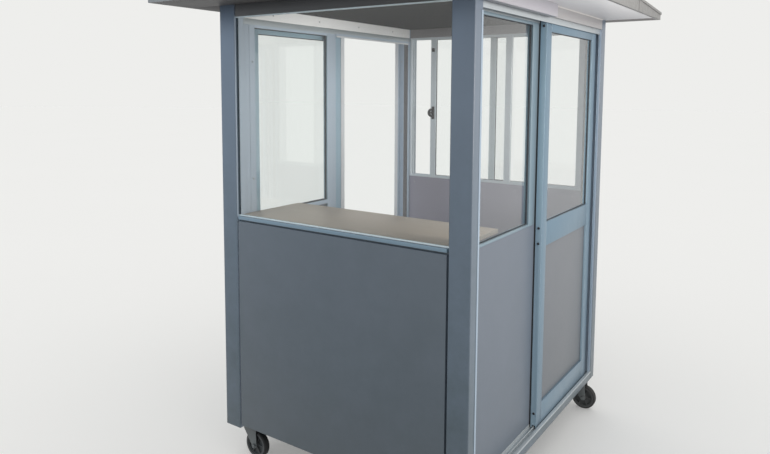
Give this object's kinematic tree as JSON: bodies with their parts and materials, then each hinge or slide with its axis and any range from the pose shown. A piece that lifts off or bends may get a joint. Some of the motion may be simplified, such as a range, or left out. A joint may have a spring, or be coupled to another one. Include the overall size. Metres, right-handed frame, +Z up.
{
  "type": "guard booth",
  "caption": "Mobile guard booth with a glazed front over a counter, a sliding door on each side, a rear sliding window, a canopy roof and swivel casters.",
  "frame": {"origin": "centre of the roof outline, on the floor that the wheels stand on", "axes": "+Z up, -Y out of the glazed front, +X out of the side with the closed door"},
  "size_m": [1.687, 1.853, 2.2242],
  "materials": {
    "slate_paint": "satin powder coat, slate blue-grey",
    "wall_paint": "satin coated sandwich panel, dark blue-grey",
    "aluminium": "satin aluminium profile with a blue-grey tint",
    "pale_aluminium": "pale grey powder coat on aluminium profile",
    "infill_panel": "matt grey sheet",
    "glass": "clear float glass",
    "laminate": "matt beige wood-look laminate",
    "floor_covering": "matt grey sheet flooring",
    "ceiling_paint": "matt light grey sheet",
    "roof_sheet": "satin galvanised grey sheet",
    "steel": "zinc-plated steel",
    "wheel_rubber": "black moulded rubber"
  },
  "bodies": {
    "booth": {"base_frame": "slate_paint", "base_sides": "slate_paint", "floor_deck": "floor_covering", "posts": "slate_paint", "front_wall": "wall_paint", "rear_wall": "wall_paint", "sill_rail": "slate_paint", "header_ends": "slate_paint", "header_sides": "slate_paint", "ceiling": "ceiling_paint", "front_glazing_bars": "pale_aluminium", "front_glass": "glass", "counter_top": "laminate", "counter_brackets": "steel", "window_frames": "pale_aluminium", "window_sashes": "pale_aluminium", "window_glass": "glass", "head_track": "aluminium", "sill_track": "aluminium", "door_jambs": "aluminium", "fixed_leaf_frame": "aluminium", "fixed_leaf_glass": "glass", "fixed_leaf_panel": "infill_panel", "door_pelmet": "slate_paint", "soffit": "ceiling_paint", "fascia": "roof_sheet", "roof_ribs": "roof_sheet", "roof_deck": "roof_sheet", "caster_plates": "steel"},
    "door": {"door_frame": "aluminium", "door_glass": "glass", "door_panel": "infill_panel", "door_rollers": "steel"},
    "left_door": {"left_door_frame": "aluminium", "left_door_glass": "glass", "left_door_panel": "infill_panel", "left_door_rollers": "steel"},
    "fork_front_left": {"fork_front_left": "steel"},
    "wheel_front_left": {"wheel_front_left": "wheel_rubber"},
    "fork_front_right": {"fork_front_right": "steel"},
    "wheel_front_right": {"wheel_front_right": "wheel_rubber"},
    "fork_rear_left": {"fork_rear_left": "steel"},
    "wheel_rear_left": {"wheel_rear_left": "wheel_rubber"},
    "fork_rear_right": {"fork_rear_right": "steel"},
    "wheel_rear_right": {"wheel_rear_right": "wheel_rubber"}
  },
  "joints": [
    {"name": "door_slide", "type": "slide", "parent": "booth", "child": "door", "axis": [0, -1, 0], "range_m": [0, 0.6]},
    {"name": "left_door_slide", "type": "slide", "parent": "booth", "child": "left_door", "axis": [0, 1, 0], "range_m": [0, 0.58]},
    {"name": "swivel_front_left", "type": "hinge", "parent": "booth", "child": "fork_front_left", "pos_m": [-0.5795, -0.6155, 0.14], "axis": [0, 0, 1], "continuous": true},
    {"name": "roll_front_left", "type": "hinge", "parent": "fork_front_left", "child": "wheel_front_left", "pos_m": [-0.5295, -0.6155, 0.0625], "axis": [0, 1, 0], "continuous": true},
    {"name": "swivel_front_right", "type": "hinge", "parent": "booth", "child": "fork_front_right", "pos_m": [0.5205, -0.6155, 0.14], "axis": [0, 0, 1], "continuous": true},
    {"name": "roll_front_right", "type": "hinge", "parent": "fork_front_right", "child": "wheel_front_right", "pos_m": [0.5705, -0.6155, 0.0625], "axis": [0, 1, 0], "continuous": true},
    {"name": "swivel_rear_left", "type": "hinge", "parent": "booth", "child": "fork_rear_left", "pos_m": [-0.5795, 0.7345, 0.14], "axis": [0, 0, 1], "continuous": true},
    {"name": "roll_rear_left", "type": "hinge", "parent": "fork_rear_left", "child": "wheel_rear_left", "pos_m": [-0.5295, 0.7345, 0.0625], "axis": [0, 1, 0], "continuous": true},
    {"name": "swivel_rear_right", "type": "hinge", "parent": "booth", "child": "fork_rear_right", "pos_m": [0.5205, 0.7345, 0.14], "axis": [0, 0, 1], "continuous": true},
    {"name": "roll_rear_right", "type": "hinge", "parent": "fork_rear_right", "child": "wheel_rear_right", "pos_m": [0.5705, 0.7345, 0.0625], "axis": [0, 1, 0], "continuous": true}
  ]
}
